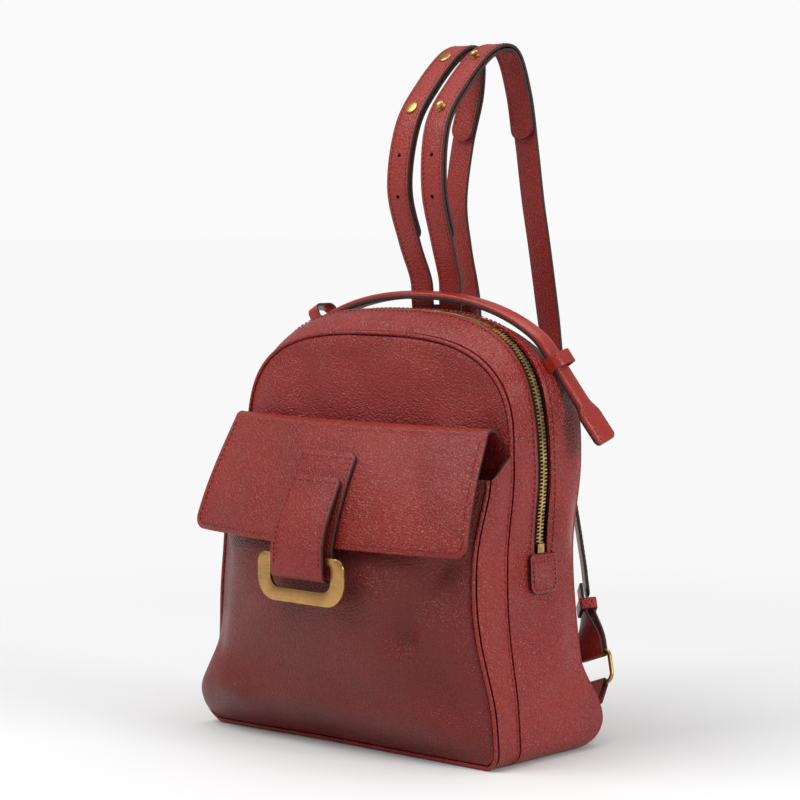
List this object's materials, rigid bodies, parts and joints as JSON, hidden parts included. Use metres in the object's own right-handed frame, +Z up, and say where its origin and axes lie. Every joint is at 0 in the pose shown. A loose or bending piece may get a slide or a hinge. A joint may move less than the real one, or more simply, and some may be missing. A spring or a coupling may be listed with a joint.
{
  "type": "leather backpack",
  "caption": "Leather backpack with an arched zip top, piped front, flap pocket with a ring pull, top handle and two raised shoulder straps.",
  "frame": {"origin": "middle of the bag's bounding box, on the surface that the bag stands on", "axes": "+Z up, -Y towards the flap pocket, +X to the right as the pocket is faced"},
  "size_m": [0.3032, 0.2268, 0.4856],
  "materials": {
    "leather": "grained, semi-matt",
    "strap": "grained, painted edges",
    "brass": "brushed",
    "tape": "woven",
    "lining": "cotton twill",
    "board": "fibre board",
    "steel": "plated"
  },
  "bodies": {
    "shell": {"back_panel": "leather", "back_stud_left": "brass", "back_stud_right": "brass", "base_board": "board", "flap_fold": "leather", "front_panel_lower": "leather", "gusset_back": "leather", "gusset_front_left": "leather", "gusset_front_right": "leather", "gusset_lower": "leather", "handle_keeper_left": "strap", "handle_keeper_right": "strap", "lining_back": "lining", "lining_front": "lining", "lower_ring_left": "brass", "lower_ring_right": "brass", "piping_front_lower": "leather", "piping_pocket": "leather", "pocket_face": "leather", "pocket_gusset": "leather", "ring_chape_left": "strap", "ring_chape_right": "strap", "snap_socket": "steel", "strap_keeper_left": "strap", "strap_keeper_right": "strap", "strap_tail_left": "strap", "strap_tail_right": "strap", "strap_yoke": "strap", "zip_bottom_stop": "brass", "zip_chain_back": "brass", "zip_chain_left": "brass", "zip_chain_right": "brass", "zip_patch_left": "leather", "zip_patch_right": "leather", "zip_tape_back": "tape", "zip_tape_left": "tape", "zip_tape_right": "tape"},
    "mouth": {"front_panel_upper": "leather", "gusset_front_upper": "leather", "piping_front_upper": "leather", "zip_tape_front": "tape", "zip_chain_front": "brass"},
    "flap": {"flap": "leather", "closure_strap": "leather", "snap_stud": "steel"},
    "ring": {"closure_ring": "brass"},
    "slider": {"zip_slider": "brass"},
    "pull": {"zip_pull": "brass"},
    "handle": {"handle": "strap"},
    "strap_left": {"strap_long_left": "strap", "strap_short_left": "strap", "strap_stud_left_1": "brass", "strap_stud_left_2": "brass"},
    "strap_right": {"strap_long_right": "strap", "strap_short_right": "strap", "strap_stud_right_1": "brass", "strap_stud_right_2": "brass"}
  },
  "joints": [
    {"name": "mouth_lean", "type": "hinge", "parent": "shell", "child": "mouth", "pos_m": [0, -0.0454, 0.236], "axis": [1, 0, 0], "range_deg": [0, 16]},
    {"name": "flap_fold", "type": "hinge", "parent": "shell", "child": "flap", "pos_m": [0, -0.0694, 0.222], "axis": [-1, 0, 0], "range_deg": [0, 110]},
    {"name": "ring_swing", "type": "hinge", "parent": "flap", "child": "ring", "pos_m": [0, -0.1082, 0.135], "axis": [-1, 0, 0], "range_deg": [0, 80]},
    {"name": "slider_run", "type": "slide", "parent": "shell", "child": "slider", "axis": [-0.0662, -0.0711, 0.9953], "range_m": [0, 0.0744]},
    {"name": "pull_swing", "type": "hinge", "parent": "slider", "child": "pull", "pos_m": [-0.12734, 0.0006, 0.1555], "axis": [0, 1, 0], "range_deg": [0, 110]},
    {"name": "handle_lift", "type": "slide", "parent": "shell", "child": "handle", "axis": [0, 0, 1], "range_m": [0, 0.006]},
    {"name": "strap_swing_left", "type": "hinge", "parent": "shell", "child": "strap_left", "pos_m": [-0.013, 0.0311, 0.304], "axis": [0.3291, -0.2697, 0.905], "range_deg": [0, 14]},
    {"name": "strap_swing_right", "type": "hinge", "parent": "shell", "child": "strap_right", "pos_m": [0.013, 0.0311, 0.304], "axis": [0.3291, 0.2697, -0.905], "range_deg": [0, 14]}
  ]
}
